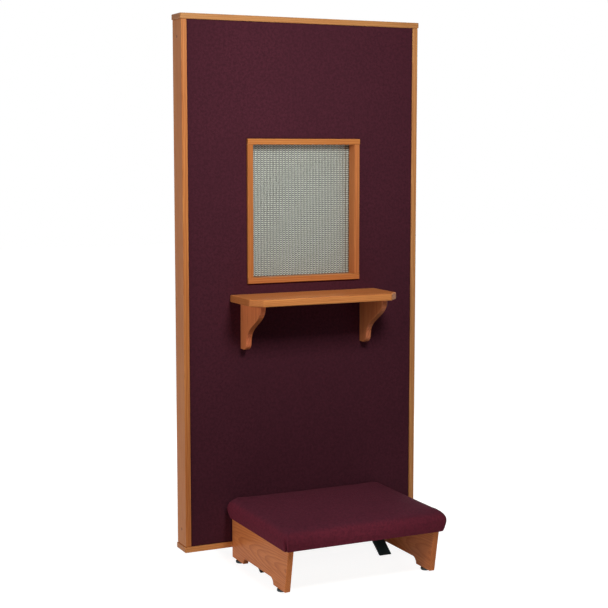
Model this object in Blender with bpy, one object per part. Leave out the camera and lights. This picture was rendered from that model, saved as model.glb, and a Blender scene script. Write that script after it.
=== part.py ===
"""Confessional screen with a mesh window and a shelf, and the loose padded kneeler that stands before it.

Units are metres, +Z is up and +Y points to the back. The origin lies on the floor, midway between the
front of the kneeler's pad and the rear tips of the foot straps.
"""

import math

import bmesh
import bpy

# Fit between pieces that touch
SEAT_GAP = 0.0003

# Panel frame
PANEL_WIDTH = 0.900
PANEL_HEIGHT = 1.829
PANEL_DEPTH = 0.082
FLOOR_GAP = 0.043
STILE_THICKNESS = 0.020
RAIL_THICKNESS = 0.019
RAIL_SIDE_OVERHANG = 0.003
RAIL_FACE_OVERHANG = 0.001
EASED_EDGE = 0.0015

# Wood plugs in the outer faces of the stiles
PLUG_RADIUS = 0.005
PLUG_LENGTH = 0.006
PLUG_INSET = 0.075

# Panel skins and core
FABRIC_RECESS = 0.004
FABRIC_THICKNESS = 0.0015
SKIN_BOARD_THICKNESS = 0.006
CORE_WIDTH = 0.038
BACKER_MARGIN = 0.020

# Window box and its woven wire mesh
WINDOW_WIDTH = 0.430
WINDOW_HEIGHT = 0.496
WINDOW_DROP = 0.412
WINDOW_BOARD = 0.020
WINDOW_PROUD = 0.006
MESH_WIRE = 0.0024
MESH_PITCH = 0.030
MESH_LET_IN = 0.006

# Shelf and its ogee brackets
SHELF_WIDTH = 0.560
SHELF_DEPTH = 0.202
SHELF_THICKNESS = 0.0245
SHELF_DROP = 0.0355
SHELF_CLIP = 0.039
SHELF_ROUNDING = 0.004
BRACKET_INSET = 0.0387
BRACKET_THICKNESS = 0.020
BRACKET_DEPTH = 0.172
BRACKET_HEIGHT = 0.164
BRACKET_TOE_DEPTH = 0.051
BRACKET_TOE_RADIUS = 0.027
OGEE_TURN_SLOPE = 31.5
OGEE_PULL = 0.036

# Foot straps and their screws
FOOT_CLEARANCE = 0.001
FOOT_WIDTH = 0.046
FOOT_THICKNESS = 0.005
FOOT_FLAT_REACH = 0.130
FOOT_ANGLE = 36.0
FOOT_BEND_RADIUS = 0.012
FOOT_SCREW_SPACING = 0.040
SCREW_SHANK_RADIUS = 0.0025
SCREW_SHANK_LENGTH = 0.018
SCREW_HEAD_RADIUS = 0.0055
SCREW_CROWN_RADIUS = 0.0033
SCREW_HEAD_HEIGHT = 0.0032

# Kneeler frame
KNEELER_GAP = 0.0005
KNEELER_WIDTH = 0.558
KNEELER_BOARD = 0.020
KNEELER_SIDE_HEIGHT = 0.145
KNEELER_FOOT_LENGTH = 0.4375
KNEELER_RAKE = 0.028
REAR_FOOT_LENGTH = 0.096
FRONT_FOOT_LENGTH = 0.091
ARCH_RISE = 0.022
REAR_RAIL_THICKNESS = 0.019
REAR_RAIL_CLEARANCE = 0.018
CLEAT_SECTION = 0.020
CLEAT_SETBACK = 0.080
GLIDE_RADIUS = 0.0155
GLIDE_HEIGHT = 0.008
GLIDE_CHAMFER = 0.002

# Kneeler pad
SEAT_BOARD = 0.012
PAD_SIDE_OVERHANG = 0.021
PAD_FRONT_OVERHANG = 0.019
PAD_REAR_SETBACK = 0.002
PAD_EDGE_HEIGHT = 0.068
PAD_EDGE_RADIUS = 0.034
PAD_CROWN = 0.016
PAD_FLAT = 0.082
PAD_TUCK = 0.010
PAD_CORNER_RADIUS = 0.016
PAD_DRAW_IN = 0.001
COVER_THICKNESS = 0.0015

# Fineness of rounded stretches
CURVE_STEPS = 6
ROUNDING_STEPS = 3
ROUND_SIDES = 16
SHARP_ANGLE = math.radians(35)

# Finishes: colour, roughness, metallic
OAK = ((0.46, 0.22, 0.09), 0.42, 0.0)
SOFTWOOD = ((0.62, 0.47, 0.28), 0.75, 0.0)
HARDBOARD = ((0.24, 0.15, 0.08), 0.85, 0.0)
PANEL_CLOTH = ((0.075, 0.016, 0.027), 0.95, 0.0)
PAD_CLOTH = ((0.085, 0.012, 0.022), 0.90, 0.0)
FOAM = ((0.75, 0.70, 0.50), 0.95, 0.0)
WIRE = ((0.55, 0.55, 0.52), 0.40, 0.9)
BLACK_STEEL = ((0.010, 0.012, 0.013), 0.50, 0.6)
BLACK_PLASTIC = ((0.012, 0.012, 0.013), 0.55, 0.0)

# Places worked out from the sizes above
FOOT_DROP = FLOOR_GAP - SEAT_GAP
FOOT_RUN = FOOT_DROP / math.tan(math.radians(FOOT_ANGLE))
FRONT_REACH = RAIL_FACE_OVERHANG + KNEELER_GAP + KNEELER_FOOT_LENGTH + KNEELER_RAKE + PAD_FRONT_OVERHANG
REAR_REACH = PANEL_DEPTH + FOOT_FLAT_REACH + FOOT_RUN
FACE_Y = (FRONT_REACH - REAR_REACH) / 2
BACK_Y = FACE_Y + PANEL_DEPTH
MIDDLE_Y = FACE_Y + PANEL_DEPTH / 2
PANEL_FOOT_Z = FLOOR_GAP
PANEL_TOP_Z = FLOOR_GAP + PANEL_HEIGHT
INSIDE_HALF = PANEL_WIDTH / 2 - STILE_THICKNESS
INSIDE_FOOT_Z = PANEL_FOOT_Z + RAIL_THICKNESS + SEAT_GAP
INSIDE_TOP_Z = PANEL_TOP_Z - RAIL_THICKNESS - SEAT_GAP
FABRIC_FRONT_Y = FACE_Y + FABRIC_RECESS
SKIN_FRONT_Y = FABRIC_FRONT_Y + FABRIC_THICKNESS + SEAT_GAP
CORE_FRONT_Y = SKIN_FRONT_Y + SKIN_BOARD_THICKNESS + SEAT_GAP
CORE_BACK_Y = 2 * MIDDLE_Y - CORE_FRONT_Y
WINDOW_TOP_Z = PANEL_TOP_Z - WINDOW_DROP
WINDOW_FOOT_Z = WINDOW_TOP_Z - WINDOW_HEIGHT
SHELF_TOP_Z = WINDOW_FOOT_Z - SHELF_DROP
SHELF_UNDER_Z = SHELF_TOP_Z - SHELF_THICKNESS
KNEELER_BACK_Y = FACE_Y - RAIL_FACE_OVERHANG - KNEELER_GAP
KNEELER_TOP_Z = GLIDE_HEIGHT + KNEELER_SIDE_HEIGHT
KNEELER_INSIDE_HALF = KNEELER_WIDTH / 2 - KNEELER_BOARD
KNEELER_BOARD_X = KNEELER_WIDTH / 2 - KNEELER_BOARD / 2
FOOT_X = KNEELER_BOARD_X - max(GLIDE_RADIUS, KNEELER_BOARD / 2) - FOOT_CLEARANCE - FOOT_WIDTH / 2
BRACKET_X = SHELF_WIDTH / 2 - BRACKET_INSET - BRACKET_THICKNESS / 2
SEAT_FOOT_Z = KNEELER_TOP_Z + SEAT_GAP
PAD_BACK_Y = KNEELER_BACK_Y - PAD_REAR_SETBACK
PAD_FRONT_Y = FACE_Y - FRONT_REACH
PAD_HALF_X = KNEELER_WIDTH / 2 + PAD_SIDE_OVERHANG
PAD_HALF_Y = (PAD_BACK_Y - PAD_FRONT_Y) / 2


def clear_scene():
    """Empty the scene of objects and of the data they leave behind."""
    for item in list(bpy.data.objects):
        bpy.data.objects.remove(item, do_unlink=True)
    for store in (bpy.data.meshes, bpy.data.materials):
        for item in list(store):
            store.remove(item)


def group(name, location):
    """Make an empty that carries one rigid group of pieces."""
    empty = bpy.data.objects.new(name, None)
    empty.location = location
    bpy.context.collection.objects.link(empty)
    return empty


def finish(item, look):
    """Give a piece its own Principled material."""
    colour, roughness, metallic = look
    material = bpy.data.materials.new(item.name)
    material.use_nodes = True
    shader = material.node_tree.nodes["Principled BSDF"]
    shader.inputs["Base Color"].default_value = (*colour, 1.0)
    shader.inputs["Roughness"].default_value = roughness
    shader.inputs["Metallic"].default_value = metallic
    item.data.materials.append(material)


def add_piece(name, mesh_builder, location, carrier, look):
    """Turn a bmesh into a named object at a world location, carried by a group's empty."""
    bmesh.ops.recalc_face_normals(mesh_builder, faces=mesh_builder.faces)
    mesh = bpy.data.meshes.new(name)
    mesh_builder.to_mesh(mesh)
    mesh_builder.free()
    item = bpy.data.objects.new(name, mesh)
    bpy.context.collection.objects.link(item)
    item.parent = carrier
    item.location = [place - base for place, base in zip(location, carrier.location)]
    finish(item, look)
    return item


def ease(item, width=EASED_EDGE, segments=1):
    """Break a piece's sharp edges."""
    bevel = item.modifiers.new("eased edges", "BEVEL")
    bevel.width = width
    bevel.segments = segments
    bevel.limit_method = "ANGLE"
    bevel.angle_limit = SHARP_ANGLE


def block(name, low, high, carrier, look):
    """Make a rectangular board between two opposite corners."""
    builder = bmesh.new()
    bmesh.ops.create_cube(builder, size=1.0)
    size = [b - a for a, b in zip(low, high)]
    centre = [(a + b) / 2 for a, b in zip(low, high)]
    bmesh.ops.scale(builder, vec=size, verts=builder.verts)
    return add_piece(name, builder, centre, carrier, look)


# Corners of a square, in ring order
SQUARE = ((-1, -1), (1, -1), (1, 1), (-1, 1))

# How a length along an axis and two offsets across it lie in space
AXIS_FRAMES = {
    "X": lambda along, u, v: (along, u, v),
    "Y": lambda along, u, v: (u, along, v),
    "Z": lambda along, u, v: (u, v, along),
}


def prism(name, outline, axis, length, location, carrier, look):
    """Extrude a closed outline, half its length to each side of a location, along one axis."""
    to_space = AXIS_FRAMES[axis]
    builder = bmesh.new()
    near = [builder.verts.new(to_space(-length / 2, u, v)) for u, v in outline]
    cap = builder.faces.new(near)
    grown = bmesh.ops.extrude_face_region(builder, geom=[cap], use_keep_orig=True)
    moved = [part for part in grown["geom"] if isinstance(part, bmesh.types.BMVert)]
    bmesh.ops.translate(builder, verts=moved, vec=to_space(length, 0, 0))
    return add_piece(name, builder, location, carrier, look)


def turned_mesh(profile, axis):
    """Turn a profile of radius and height pairs about an axis, closed by flat ends."""
    to_space = AXIS_FRAMES[axis]
    builder = bmesh.new()
    rings = []
    for radius, height in profile:
        ring = []
        for step in range(ROUND_SIDES):
            angle = 2 * math.pi * step / ROUND_SIDES
            point = to_space(height, radius * math.cos(angle), radius * math.sin(angle))
            ring.append(builder.verts.new(point))
        rings.append(ring)
    for lower, upper in zip(rings, rings[1:]):
        for step in range(ROUND_SIDES):
            after = (step + 1) % ROUND_SIDES
            builder.faces.new((lower[step], lower[after], upper[after], upper[step]))
    builder.faces.new(rings[0])
    builder.faces.new(rings[-1])
    return builder


def smooth_round(item):
    """Shade a turned piece smooth between its sharp edges."""
    item.data.shade_smooth()
    item.data.set_sharp_from_angle(angle=SHARP_ANGLE)


def bore(items, name, radius, length, axis, location, carrier):
    """Cut one round hole through several pieces."""
    profile = [(radius, -length / 2), (radius, length / 2)]
    cutter = add_piece(name, turned_mesh(profile, axis), location, carrier, BLACK_STEEL)
    cutter.hide_render = True
    cutter.display_type = "WIRE"
    for item in items:
        hole = item.modifiers.new(name, "BOOLEAN")
        hole.operation = "DIFFERENCE"
        hole.solver = "EXACT"
        hole.object = cutter


def arc(centre, radius, start, end, steps=CURVE_STEPS):
    """List points along an arc between two angles in degrees, both ends included."""
    points = []
    for step in range(steps + 1):
        angle = math.radians(start + (end - start) * step / steps)
        points.append((centre[0] + radius * math.cos(angle), centre[1] + radius * math.sin(angle)))
    return points


def curve(start, pull_start, pull_end, end, steps=CURVE_STEPS):
    """List points along a cubic curve after its start, the end included."""
    points = []
    for step in range(1, steps + 1):
        t = step / steps
        weights = ((1 - t) ** 3, 3 * t * (1 - t) ** 2, 3 * t * t * (1 - t), t ** 3)
        corners = (start, pull_start, pull_end, end)
        points.append(tuple(sum(w * c[k] for w, c in zip(weights, corners)) for k in (0, 1)))
    return points


def build_frame(screen):
    """Make the stiles, the rails that lap over their ends, and the wood plugs."""
    for side, sign in (("left", -1), ("right", 1)):
        outer = sign * PANEL_WIDTH / 2
        inner = sign * INSIDE_HALF
        stile = block(
            f"stile_{side}",
            (min(outer, inner), FACE_Y, INSIDE_FOOT_Z),
            (max(outer, inner), BACK_Y, INSIDE_TOP_Z),
            screen, OAK,
        )
        ease(stile)
        plug_heights = {"top": PANEL_TOP_Z - PLUG_INSET, "bottom": PANEL_FOOT_Z + PLUG_INSET}
        for level, height in plug_heights.items():
            place = (outer - sign * PLUG_LENGTH / 2, MIDDLE_Y, height)
            profile = [(PLUG_RADIUS, -PLUG_LENGTH / 2), (PLUG_RADIUS, PLUG_LENGTH / 2)]
            plug = add_piece(f"plug_{side}_{level}", turned_mesh(profile, "X"), place, screen, OAK)
            smooth_round(plug)
            bore(
                [stile], f"plug_bore_{side}_{level}", PLUG_RADIUS + SEAT_GAP,
                2 * (PLUG_LENGTH + SEAT_GAP), "X", (outer, MIDDLE_Y, height), screen,
            )
    rails = {}
    rail_half = PANEL_WIDTH / 2 + RAIL_SIDE_OVERHANG
    rail_feet = {"top_rail": PANEL_TOP_Z - RAIL_THICKNESS, "bottom_rail": PANEL_FOOT_Z}
    for name, foot in rail_feet.items():
        rails[name] = block(
            name,
            (-rail_half, FACE_Y - RAIL_FACE_OVERHANG, foot),
            (rail_half, BACK_Y + RAIL_FACE_OVERHANG, foot + RAIL_THICKNESS),
            screen, OAK,
        )
        ease(rails[name])
    return rails


def build_core(screen):
    """Make the softwood framing hidden between the skins, with the backer that the shelf is screwed to."""
    half = INSIDE_HALF - SEAT_GAP
    stud_half = half - CORE_WIDTH - SEAT_GAP
    plate_feet = {"core_plate_bottom": INSIDE_FOOT_Z, "core_plate_top": INSIDE_TOP_Z - CORE_WIDTH}
    for name, foot in plate_feet.items():
        block(name, (-half, CORE_FRONT_Y, foot), (half, CORE_BACK_Y, foot + CORE_WIDTH), screen, SOFTWOOD)
    stud_foot = INSIDE_FOOT_Z + CORE_WIDTH + SEAT_GAP
    stud_top = INSIDE_TOP_Z - CORE_WIDTH - SEAT_GAP
    trimmer_inner = WINDOW_WIDTH / 2 + SEAT_GAP
    for side, sign in (("left", -1), ("right", 1)):
        ends = sorted((sign * half, sign * (half - CORE_WIDTH)))
        block(
            f"core_stud_{side}",
            (ends[0], CORE_FRONT_Y, stud_foot),
            (ends[1], CORE_BACK_Y, stud_top),
            screen, SOFTWOOD,
        )
        ends = sorted((sign * trimmer_inner, sign * (trimmer_inner + CORE_WIDTH)))
        block(
            f"core_trimmer_{side}",
            (ends[0], CORE_FRONT_Y, WINDOW_FOOT_Z),
            (ends[1], CORE_BACK_Y, WINDOW_TOP_Z),
            screen, SOFTWOOD,
        )
    header_foot = WINDOW_TOP_Z + SEAT_GAP
    sill_top = WINDOW_FOOT_Z - SEAT_GAP
    backer_top = sill_top - CORE_WIDTH - SEAT_GAP
    backer_foot = SHELF_UNDER_Z - BRACKET_HEIGHT - BACKER_MARGIN
    members = {
        "core_header": (header_foot, header_foot + CORE_WIDTH),
        "core_sill": (sill_top - CORE_WIDTH, sill_top),
        "shelf_backer": (backer_foot, backer_top),
    }
    for name, (foot, top) in members.items():
        block(name, (-stud_half, CORE_FRONT_Y, foot), (stud_half, CORE_BACK_Y, top), screen, SOFTWOOD)


def sheet_with_window(name, front_y, back_y, screen, look):
    """Make a sheet that fills the frame, with the window box's hole in it."""
    half = INSIDE_HALF - SEAT_GAP
    hole_half = WINDOW_WIDTH / 2 + SEAT_GAP
    loops = [
        (-half, half, INSIDE_FOOT_Z, INSIDE_TOP_Z),
        (-hole_half, hole_half, WINDOW_FOOT_Z - SEAT_GAP, WINDOW_TOP_Z + SEAT_GAP),
    ]
    builder = bmesh.new()
    centre = (0.0, (front_y + back_y) / 2, (INSIDE_FOOT_Z + INSIDE_TOP_Z) / 2)
    corners = {}
    for ring, (left, right, foot, top) in enumerate(loops):
        for depth, y in enumerate((front_y, back_y)):
            places = ((left, foot), (right, foot), (right, top), (left, top))
            corners[ring, depth] = [builder.verts.new((x, y - centre[1], z - centre[2])) for x, z in places]
    for step in range(4):
        after = (step + 1) % 4
        for depth in (0, 1):
            outer = corners[0, depth]
            inner = corners[1, depth]
            builder.faces.new((outer[step], outer[after], inner[after], inner[step]))
        for ring in (0, 1):
            near = corners[ring, 0]
            far = corners[ring, 1]
            builder.faces.new((near[step], near[after], far[after], far[step]))
    add_piece(name, builder, centre, screen, look)


def build_skins(screen):
    """Make the skin boards and the fabric over them, alike on both faces of the panel."""
    fabric = (FABRIC_FRONT_Y, FABRIC_FRONT_Y + FABRIC_THICKNESS)
    board = (SKIN_FRONT_Y, SKIN_FRONT_Y + SKIN_BOARD_THICKNESS)
    sheet_with_window("front_fabric", *fabric, screen, PANEL_CLOTH)
    sheet_with_window("front_board", *board, screen, HARDBOARD)
    mirrored = 2 * MIDDLE_Y
    sheet_with_window("rear_board", mirrored - board[1], mirrored - board[0], screen, HARDBOARD)
    sheet_with_window("rear_fabric", mirrored - fabric[1], mirrored - fabric[0], screen, PANEL_CLOTH)


def kerfed_section():
    """Outline a window board's cross-section: across its thickness, then through the panel.

    The first coordinate runs from the outer face to the inner face, where the mesh's kerf is.
    """
    reach = PANEL_DEPTH / 2 + WINDOW_PROUD
    kerf_half = MESH_WIRE + SEAT_GAP
    kerf_floor = WINDOW_BOARD - MESH_LET_IN
    half = [
        (kerf_floor, kerf_half),
        (WINDOW_BOARD, kerf_half),
        (WINDOW_BOARD, reach - EASED_EDGE),
        (WINDOW_BOARD - EASED_EDGE, reach),
        (EASED_EDGE, reach),
        (0.0, reach - EASED_EDGE),
    ]
    return half + [(across, -through) for across, through in reversed(half)]


def build_window(screen):
    """Make the window box: head and sill run over the ends of the two jambs."""
    section = kerfed_section()
    head = [(through, -across) for across, through in section]
    sill = [(through, across) for across, through in section]
    prism("window_head", head, "X", WINDOW_WIDTH, (0.0, MIDDLE_Y, WINDOW_TOP_Z), screen, OAK)
    prism("window_sill", sill, "X", WINDOW_WIDTH, (0.0, MIDDLE_Y, WINDOW_FOOT_Z), screen, OAK)
    jamb_length = WINDOW_HEIGHT - 2 * (WINDOW_BOARD + SEAT_GAP)
    middle_z = (WINDOW_FOOT_Z + WINDOW_TOP_Z) / 2
    for side, sign in (("left", -1), ("right", 1)):
        outline = [(-sign * across, through) for across, through in section]
        place = (sign * WINDOW_WIDTH / 2, MIDDLE_Y, middle_z)
        prism(f"window_jamb_{side}", outline, "Z", jamb_length, place, screen, OAK)


def wire_places(opening):
    """List the places of the wires across an opening, evenly about its middle."""
    count = max(2, round(opening / MESH_PITCH))
    return [(step - (count - 1) / 2) * MESH_PITCH for step in range(count)]


class WovenNet:
    """A net of square wires that pass over and under each other and share a face where they cross.

    A crossing has the four corners of the wires' overlap at three depths: the front of the front wire, the
    face between the wires, and the back of the back wire. Upright wires lead at every other crossing.
    """

    def __init__(self, columns, rows):
        self.builder = bmesh.new()
        self.columns = columns
        self.rows = rows
        self.corner = {}
        half = MESH_WIRE / 2
        for i, x in enumerate(columns):
            for j, z in enumerate(rows):
                for a, b in SQUARE:
                    for depth in range(3):
                        place = (x + a * half, (depth - 1) * MESH_WIRE, z + b * half)
                        self.corner[i, j, a, b, depth] = self.builder.verts.new(place)

    def add_crossing(self, i, j):
        """Close a crossing's front and back, and the side of each wire where the other one leaves."""
        upright = (i + j) % 2
        level = 1 - upright
        for depth in (0, 2):
            self.builder.faces.new([self.corner[i, j, a, b, depth] for a, b in SQUARE])
        for edge in (-1, 1):
            above = [(-1, level), (1, level), (1, level + 1), (-1, level + 1)]
            self.builder.faces.new([self.corner[i, j, a, edge, depth] for a, depth in above])
            beside = [(-1, upright), (1, upright), (1, upright + 1), (-1, upright + 1)]
            self.builder.faces.new([self.corner[i, j, edge, b, depth] for b, depth in beside])

    def exit(self, i, j, out_x, out_z):
        """List the corners of the section where a wire leaves a crossing on one side, in ring order."""
        upright = (i + j) % 2
        depth = upright if out_z else 1 - upright
        first = (out_x or -1, out_z or -1)
        second = (out_x or 1, out_z or 1)
        ring = ((first, depth), (second, depth), (second, depth + 1), (first, depth + 1))
        return [self.corner[i, j, a, b, d] for (a, b), d in ring]

    def add_wire(self, start, end):
        """Run a wire's four faces between two sections."""
        for step in range(4):
            after = (step + 1) % 4
            self.builder.faces.new((start[step], start[after], end[after], end[step]))

    def add_tail(self, start, shift):
        """Run a wire straight on from a section and cut it off square."""
        end = [self.builder.verts.new([c + s for c, s in zip(point.co, shift)]) for point in start]
        self.add_wire(start, end)
        self.builder.faces.new(end)

    def weave(self, tail_x, tail_z):
        """Make all the crossings, the wires between them and the tails at the four edges."""
        last_i = len(self.columns) - 1
        last_j = len(self.rows) - 1
        for i in range(last_i + 1):
            for j in range(last_j + 1):
                self.add_crossing(i, j)
                if i < last_i:
                    self.add_wire(self.exit(i, j, 1, 0), self.exit(i + 1, j, -1, 0))
                if j < last_j:
                    self.add_wire(self.exit(i, j, 0, 1), self.exit(i, j + 1, 0, -1))
        for j in range(last_j + 1):
            self.add_tail(self.exit(0, j, -1, 0), (-tail_x, 0.0, 0.0))
            self.add_tail(self.exit(last_i, j, 1, 0), (tail_x, 0.0, 0.0))
        for i in range(last_i + 1):
            self.add_tail(self.exit(i, 0, 0, -1), (0.0, 0.0, -tail_z))
            self.add_tail(self.exit(i, last_j, 0, 1), (0.0, 0.0, tail_z))


def build_mesh(screen):
    """Make the woven wire mesh, its tails let into the kerfs of the window boards."""
    opening_x = WINDOW_WIDTH - 2 * WINDOW_BOARD
    opening_z = WINDOW_HEIGHT - 2 * WINDOW_BOARD
    net = WovenNet(wire_places(opening_x), wire_places(opening_z))
    past_wire = MESH_LET_IN - SEAT_GAP - MESH_WIRE / 2
    net.weave(opening_x / 2 - net.columns[-1] + past_wire, opening_z / 2 - net.rows[-1] + past_wire)
    place = (0.0, MIDDLE_Y, (WINDOW_FOOT_Z + WINDOW_TOP_Z) / 2)
    add_piece("window_mesh", net.builder, place, screen, WIRE)


def bracket_outline():
    """Outline an ogee bracket: reach out from the panel, then height, from its top rear corner."""
    slope = math.radians(OGEE_TURN_SLOPE)
    lean = (OGEE_PULL * math.cos(slope), OGEE_PULL * math.sin(slope))
    toe_top = -BRACKET_HEIGHT + BRACKET_TOE_RADIUS
    nose = (BRACKET_DEPTH, 0.0)
    toe = (BRACKET_TOE_DEPTH, toe_top)
    turn = ((nose[0] + toe[0]) / 2, (nose[1] + toe[1]) / 2)
    outline = [(0.0, 0.0), nose]
    outline += curve(nose, (nose[0], -OGEE_PULL), (turn[0] + lean[0], turn[1] + lean[1]), turn)
    outline += curve(turn, (turn[0] - lean[0], turn[1] - lean[1]), (toe[0], toe[1] + OGEE_PULL), toe)
    outline += arc((BRACKET_TOE_DEPTH - BRACKET_TOE_RADIUS, toe_top), BRACKET_TOE_RADIUS, 0, -90)[1:]
    outline.append((0.0, -BRACKET_HEIGHT))
    return outline


def build_shelf(screen):
    """Make the shelf board with its clipped front corners, and the two ogee brackets under it."""
    back_y = FABRIC_FRONT_Y - SEAT_GAP
    half = SHELF_WIDTH / 2
    clip = SHELF_CLIP
    outline = [
        (-half, 0.0),
        (-half, -SHELF_DEPTH + clip),
        (-half + clip, -SHELF_DEPTH),
        (half - clip, -SHELF_DEPTH),
        (half, -SHELF_DEPTH + clip),
        (half, 0.0),
    ]
    place = (0.0, back_y, SHELF_UNDER_Z + SHELF_THICKNESS / 2)
    shelf = prism("shelf_board", outline, "Z", SHELF_THICKNESS, place, screen, OAK)
    ease(shelf, SHELF_ROUNDING, ROUNDING_STEPS)
    profile = [(-reach, height) for reach, height in bracket_outline()]
    for side, sign in (("left", -1), ("right", 1)):
        place = (sign * BRACKET_X, back_y, SHELF_UNDER_Z - SEAT_GAP)
        name = f"shelf_bracket_{side}"
        ease(prism(name, profile, "X", BRACKET_THICKNESS, place, screen, OAK))


def strap_outline():
    """Outline a foot strap seen from its side: distance from the panel's middle, then height."""
    slope = math.radians(FOOT_ANGLE)
    top = FOOT_DROP
    knee = PANEL_DEPTH / 2 + FOOT_FLAT_REACH
    inner = FOOT_BEND_RADIUS
    outer = inner + FOOT_THICKNESS
    bend_start = knee - outer * math.tan(slope / 2)
    centre = (bend_start, top - outer)
    tip = knee + FOOT_RUN
    heel = tip - FOOT_THICKNESS / math.sin(slope)
    upper = arc(centre, outer, 90, 90 - FOOT_ANGLE) + [(tip, 0.0)]
    lower = [(heel, 0.0)] + arc(centre, inner, 90 - FOOT_ANGLE, 90)
    half = upper + lower
    return half + [(-reach, height) for reach, height in reversed(half)]


def build_feet(screen, bottom_rail):
    """Make the bent straps that the panel stands on, and the screws that hold them to the bottom rail."""
    outline = strap_outline()
    head_top = FOOT_DROP - FOOT_THICKNESS - SEAT_GAP
    profile = [
        (SCREW_CROWN_RADIUS, -SCREW_HEAD_HEIGHT),
        (SCREW_HEAD_RADIUS, -SCREW_HEAD_HEIGHT / 2),
        (SCREW_HEAD_RADIUS, 0.0),
        (SCREW_SHANK_RADIUS, 0.0),
        (SCREW_SHANK_RADIUS, SCREW_SHANK_LENGTH),
    ]
    for side, sign in (("left", -1), ("right", 1)):
        x = sign * FOOT_X
        strap = prism(f"foot_{side}", outline, "X", FOOT_WIDTH, (x, MIDDLE_Y, 0.0), screen, BLACK_STEEL)
        for end, step in (("front", -1), ("rear", 1)):
            y = MIDDLE_Y + step * FOOT_SCREW_SPACING / 2
            place = (x, y, head_top)
            name = f"foot_screw_{side}_{end}"
            smooth_round(add_piece(name, turned_mesh(profile, "Z"), place, screen, BLACK_STEEL))
            bore(
                [strap, bottom_rail], f"{name}_bore", SCREW_SHANK_RADIUS + SEAT_GAP,
                2 * (SCREW_SHANK_LENGTH + SEAT_GAP), "Z", place, screen,
            )


def kneeler_side_outline():
    """Outline a kneeler side board: distance forward of its rear edge, then height above its feet."""
    front = KNEELER_FOOT_LENGTH
    arch_start = REAR_FOOT_LENGTH
    arch_end = front - FRONT_FOOT_LENGTH
    rear_cove = arc((arch_start + ARCH_RISE, 0.0), ARCH_RISE, 180, 90)
    front_cove = arc((arch_end - ARCH_RISE, 0.0), ARCH_RISE, 90, 0)
    raked_top = (front + KNEELER_RAKE, KNEELER_SIDE_HEIGHT)
    return [(0.0, 0.0)] + rear_cove + front_cove + [(front, 0.0), raked_top, (0.0, KNEELER_SIDE_HEIGHT)]


def build_kneeler_frame(kneeler):
    """Make the kneeler's sides, rear rail, seat cleats and glides."""
    outline = [(-forward, height) for forward, height in kneeler_side_outline()]
    inside = KNEELER_INSIDE_HALF - SEAT_GAP
    rail_front = KNEELER_BACK_Y - REAR_RAIL_THICKNESS
    cleat_front = KNEELER_BACK_Y - KNEELER_FOOT_LENGTH - KNEELER_RAKE + CLEAT_SETBACK
    glide_reach = {"rear": REAR_FOOT_LENGTH / 2, "front": KNEELER_FOOT_LENGTH - FRONT_FOOT_LENGTH / 2}
    glide_profile = [
        (GLIDE_RADIUS - GLIDE_CHAMFER, 0.0),
        (GLIDE_RADIUS, GLIDE_CHAMFER),
        (GLIDE_RADIUS, GLIDE_HEIGHT - SEAT_GAP),
    ]
    for side, sign in (("left", -1), ("right", 1)):
        place = (sign * KNEELER_BOARD_X, KNEELER_BACK_Y, GLIDE_HEIGHT)
        ease(prism(f"kneeler_side_{side}", outline, "X", KNEELER_BOARD, place, kneeler, OAK))
        ends = sorted((sign * inside, sign * (inside - CLEAT_SECTION)))
        block(
            f"seat_cleat_{side}",
            (ends[0], cleat_front, KNEELER_TOP_Z - CLEAT_SECTION),
            (ends[1], rail_front - SEAT_GAP, KNEELER_TOP_Z),
            kneeler, SOFTWOOD,
        )
        for end, reach in glide_reach.items():
            place = (sign * KNEELER_BOARD_X, KNEELER_BACK_Y - reach, 0.0)
            name = f"glide_{side}_{end}"
            smooth_round(add_piece(name, turned_mesh(glide_profile, "Z"), place, kneeler, BLACK_PLASTIC))
    rail = block(
        "kneeler_rear_rail",
        (-inside, rail_front, FLOOR_GAP + REAR_RAIL_CLEARANCE),
        (inside, KNEELER_BACK_Y, KNEELER_TOP_Z),
        kneeler, OAK,
    )
    ease(rail)


def pad_profile(depth, foot):
    """List the pad's rings, each an inset from its widest outline and a height above the seat's underside.

    The surface lies a given depth inside the cover's outside, and starts at the height of its foot.
    """
    side = PAD_EDGE_HEIGHT - PAD_EDGE_RADIUS
    rings = []
    for step in range(CURVE_STEPS):
        height = foot + (side - foot) * step / CURVE_STEPS
        rings.append((PAD_TUCK * (1 - math.sin(math.pi / 2 * height / side)) + depth, height))
    radius = PAD_EDGE_RADIUS - depth
    for inset, rise in arc((0.0, 0.0), radius, 0, 90):
        rings.append((PAD_EDGE_RADIUS - inset, side + rise))
    steps = CURVE_STEPS - 1
    crown_reach = min(PAD_HALF_X, PAD_HALF_Y) - PAD_FLAT / 2
    for step in range(1, steps + 1):
        part = step / steps
        inset = PAD_EDGE_RADIUS + (crown_reach - PAD_EDGE_RADIUS) * part
        rings.append((inset, PAD_EDGE_HEIGHT - depth + PAD_CROWN * (1 - (1 - part) ** 2)))
    return rings


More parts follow.
